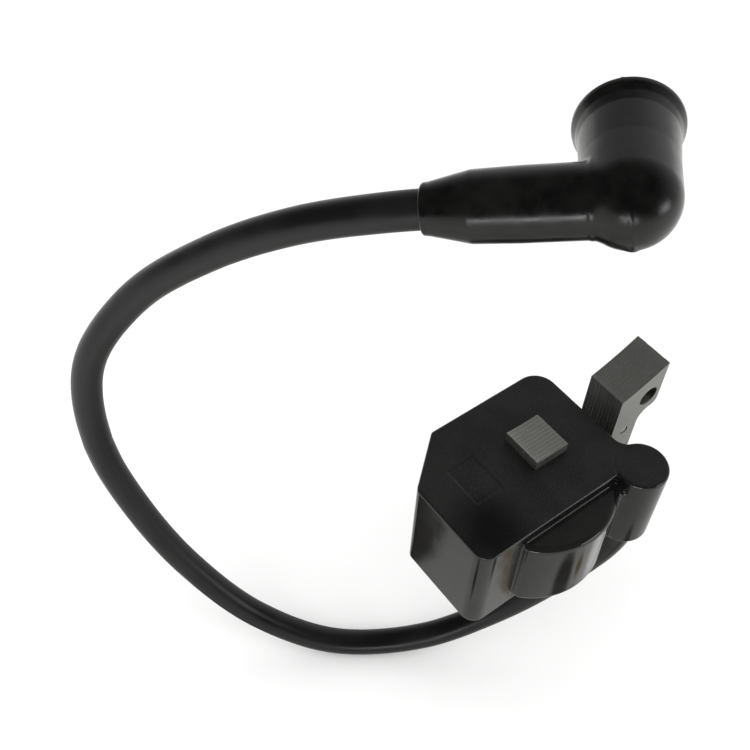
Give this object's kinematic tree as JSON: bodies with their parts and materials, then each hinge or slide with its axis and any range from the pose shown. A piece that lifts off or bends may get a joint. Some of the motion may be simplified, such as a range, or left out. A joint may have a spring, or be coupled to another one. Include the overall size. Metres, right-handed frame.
{
  "type": "ignition coil",
  "caption": "Flywheel ignition coil: potted housing on a U-shaped laminated core with bolt ears, moulded high-tension lead and elbow spark plug boot.",
  "frame": {"origin": "on the core's seat face, on the outer leg's centre line, midway between the two mounting holes", "axes": "+X across the core legs from the coil's leg to the outer leg, +Y out of the seat face towards the engine, +Z along the legs towards the flywheel"},
  "size_m": [0.116, 0.0964, 0.1837],
  "materials": {
    "housing_plastic": "moulded thermoplastic, fine-grained top, satin walls",
    "potting_epoxy": "cast epoxy, glossy",
    "core_steel": "punched electrical steel, dull grey",
    "rivet_steel": "peened steel",
    "bobbin_nylon": "natural nylon",
    "enamelled_copper": "enamelled wire",
    "board_laminate": "glass-epoxy laminate",
    "component_plastic": "moulded epoxy",
    "resistor_paint": "conformal paint",
    "capacitor_paint": "dipped epoxy",
    "tinned_brass": "pressed brass",
    "lead_pvc": "extruded insulation, satin",
    "conductor_copper": "tinned copper strands",
    "boot_rubber": "moulded rubber, semi-gloss",
    "spring_steel": "bright spring wire"
  },
  "bodies": {
    "coil_module": {"coil_housing": "housing_plastic", "potting_resin": "potting_epoxy", "core_lamination_01": "core_steel", "core_lamination_02": "core_steel", "core_lamination_03": "core_steel", "core_lamination_04": "core_steel", "core_lamination_05": "core_steel", "core_lamination_06": "core_steel", "core_lamination_07": "core_steel", "core_lamination_08": "core_steel", "core_lamination_09": "core_steel", "core_lamination_10": "core_steel", "core_lamination_11": "core_steel", "core_rivet_1": "rivet_steel", "core_rivet_2": "rivet_steel", "core_rivet_3": "rivet_steel", "primary_bobbin": "bobbin_nylon", "secondary_bobbin": "bobbin_nylon", "primary_winding": "enamelled_copper", "secondary_winding_1": "enamelled_copper", "secondary_winding_2": "enamelled_copper", "secondary_winding_3": "enamelled_copper", "secondary_winding_4": "enamelled_copper", "trigger_board": "board_laminate", "ignition_thyristor": "component_plastic", "trigger_chip": "component_plastic", "rectifier_diode": "component_plastic", "trigger_resistor": "resistor_paint", "bleed_resistor": "resistor_paint", "storage_capacitor": "capacitor_paint", "stop_terminal": "tinned_brass", "ground_tab": "tinned_brass", "lead_spike": "tinned_brass", "output_link": "tinned_brass", "lead_jacket_root": "lead_pvc", "lead_core_root": "conductor_copper"},
    "lead_end": {"lead_jacket_end": "lead_pvc", "lead_core_end": "conductor_copper"},
    "spark_plug_boot": {"plug_boot": "boot_rubber", "plug_spring": "spring_steel"}
  },
  "joints": [
    {"name": "lead_flex", "type": "hinge", "parent": "coil_module", "child": "lead_end", "pos_m": [-0.10275, 0.0614, 0.0045], "axis": [0.6886, 0.7246, -0.028], "range_deg": [-20, 20], "stiffness_Nm_per_rad": 0.8},
    {"name": "boot_swivel", "type": "hinge", "parent": "lead_end", "child": "spark_plug_boot", "pos_m": [-0.05545, 0.0075, 0.0925], "axis": [0.6745, -0.6998, 0.2353], "range_deg": [-180, 180]}
  ]
}
